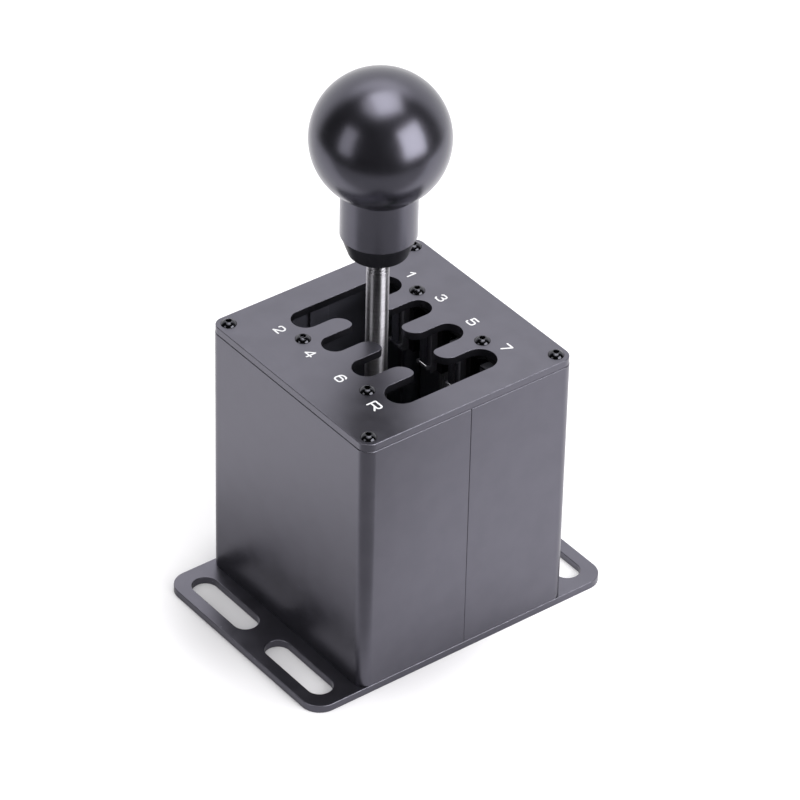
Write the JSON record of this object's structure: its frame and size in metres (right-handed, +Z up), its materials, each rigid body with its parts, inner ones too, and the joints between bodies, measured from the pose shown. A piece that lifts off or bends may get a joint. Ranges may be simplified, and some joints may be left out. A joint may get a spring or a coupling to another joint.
{
  "type": "sim racing gear shifter",
  "caption": "Free-standing H-pattern gear shifter for a driving simulator: a ball-topped lever tilts in a slotted gate on a square metal box with a slotted base plate.",
  "frame": {"origin": "Middle of the underside of the base plate, which is the surface it stands on.", "axes": "+Z up along the lever at rest, +Y forward towards gears 1, 3, 5 and 7, +X to the driver's right towards gear 7 and reverse."},
  "size_m": [0.09, 0.13, 0.2102],
  "materials": {
    "black_anodised": "satin black anodised aluminium",
    "knob_black": "satin black anodised aluminium, turned",
    "collar_black": "matte black anodised aluminium",
    "black_screws": "glossy blackened steel",
    "polished_steel": "polished steel",
    "bearing_steel": "ground steel",
    "strip_steel": "bright spring steel",
    "bare_aluminium": "machined aluminium",
    "black_bracket": "matte black",
    "brass": "turned brass",
    "switch_plastic": "moulded black plastic",
    "board_green": "green circuit board",
    "cable_grey": "grey flat cable"
  },
  "bodies": {
    "shifter_body": {"base_plate": "black_anodised", "bearing_balls": "bearing_steel", "bearing_outer_races": "bearing_steel", "board_screws": "black_screws", "board_standoffs": "brass", "control_board": "board_green", "detent_leaf_spring": "bearing_steel", "detent_screws": "black_screws", "floor_screws": "black_screws", "front_flat_cable": "cable_grey", "front_housing": "black_anodised", "front_switch_bracket": "black_bracket", "gate_plate": "black_anodised", "gate_screws": "black_screws", "housing_screws": "black_screws", "left_bearing_block": "bare_aluminium", "rear_flat_cable": "cable_grey", "rear_housing": "black_anodised", "rear_switch_bracket": "black_bracket", "right_bearing_block": "bare_aluminium", "switch_1": "switch_plastic", "switch_2": "switch_plastic", "switch_3": "switch_plastic", "switch_4": "switch_plastic", "switch_5": "switch_plastic", "switch_6": "switch_plastic", "switch_7": "switch_plastic", "switch_r": "switch_plastic", "switch_screws": "black_screws", "usb_socket": "bearing_steel"},
    "gimbal": {"gimbal_frame": "bare_aluminium", "trunnions": "bearing_steel", "trunnion_spacers": "bare_aluminium", "retaining_clips": "bearing_steel", "bearing_inner_races": "bearing_steel", "detent_sector": "bearing_steel", "select_pin": "bearing_steel", "spring_guide_rod": "bearing_steel", "left_centring_spring": "bearing_steel", "right_centring_spring": "bearing_steel"},
    "lever": {"lever_block": "bare_aluminium", "lever_bushes": "brass", "shift_shaft": "polished_steel", "shaft_lock_nut": "bearing_steel", "knob_collar": "collar_black", "shift_knob": "knob_black", "knob_insert": "brass"},
    "switch_lever_1_body": {"switch_lever_1": "strip_steel"},
    "switch_lever_3_body": {"switch_lever_3": "strip_steel"},
    "switch_lever_5_body": {"switch_lever_5": "strip_steel"},
    "switch_lever_7_body": {"switch_lever_7": "strip_steel"},
    "switch_lever_2_body": {"switch_lever_2": "strip_steel"},
    "switch_lever_4_body": {"switch_lever_4": "strip_steel"},
    "switch_lever_6_body": {"switch_lever_6": "strip_steel"},
    "switch_lever_r_body": {"switch_lever_r": "strip_steel"}
  },
  "joints": [
    {"name": "shift", "type": "hinge", "parent": "shifter_body", "child": "gimbal", "pos_m": [-0.00945, 0.00065, 0.024], "axis": [1, 0, 0], "range_deg": [-12.1, 12.1], "deforming": ["detent_leaf_spring"]},
    {"name": "select", "type": "hinge", "parent": "gimbal", "child": "lever", "pos_m": [-0.00945, 0.00065, 0.024], "axis": [0, 1, 0], "range_deg": [-11.78, 23.36], "stiffness_Nm_per_rad": 1.5, "deforming": ["left_centring_spring", "right_centring_spring"]},
    {"name": "switch_1_press", "type": "hinge", "parent": "shifter_body", "child": "switch_lever_1_body", "pos_m": [-0.02573, 0.02158, 0.0825], "axis": [-1, 0, 0], "range_deg": [0, 2.5], "stiffness_Nm_per_rad": 0.02},
    {"name": "switch_3_press", "type": "hinge", "parent": "shifter_body", "child": "switch_lever_3_body", "pos_m": [-0.00945, 0.02158, 0.0825], "axis": [-1, 0, 0], "range_deg": [0, 2.5], "stiffness_Nm_per_rad": 0.02},
    {"name": "switch_5_press", "type": "hinge", "parent": "shifter_body", "child": "switch_lever_5_body", "pos_m": [0.00683, 0.02158, 0.0825], "axis": [-1, 0, 0], "range_deg": [0, 2.5], "stiffness_Nm_per_rad": 0.02},
    {"name": "switch_7_press", "type": "hinge", "parent": "shifter_body", "child": "switch_lever_7_body", "pos_m": [0.02426, 0.02158, 0.0825], "axis": [-1, 0, 0], "range_deg": [0, 2.5], "stiffness_Nm_per_rad": 0.02},
    {"name": "switch_2_press", "type": "hinge", "parent": "shifter_body", "child": "switch_lever_2_body", "pos_m": [-0.02573, -0.02028, 0.0825], "axis": [1, 0, 0], "range_deg": [0, 2.5], "stiffness_Nm_per_rad": 0.02},
    {"name": "switch_4_press", "type": "hinge", "parent": "shifter_body", "child": "switch_lever_4_body", "pos_m": [-0.00945, -0.02028, 0.0825], "axis": [1, 0, 0], "range_deg": [0, 2.5], "stiffness_Nm_per_rad": 0.02},
    {"name": "switch_6_press", "type": "hinge", "parent": "shifter_body", "child": "switch_lever_6_body", "pos_m": [0.00683, -0.02028, 0.0825], "axis": [1, 0, 0], "range_deg": [0, 2.5], "stiffness_Nm_per_rad": 0.02},
    {"name": "switch_r_press", "type": "hinge", "parent": "shifter_body", "child": "switch_lever_r_body", "pos_m": [0.02426, -0.02028, 0.0825], "axis": [1, 0, 0], "range_deg": [0, 2.5], "stiffness_Nm_per_rad": 0.02}
  ]
}
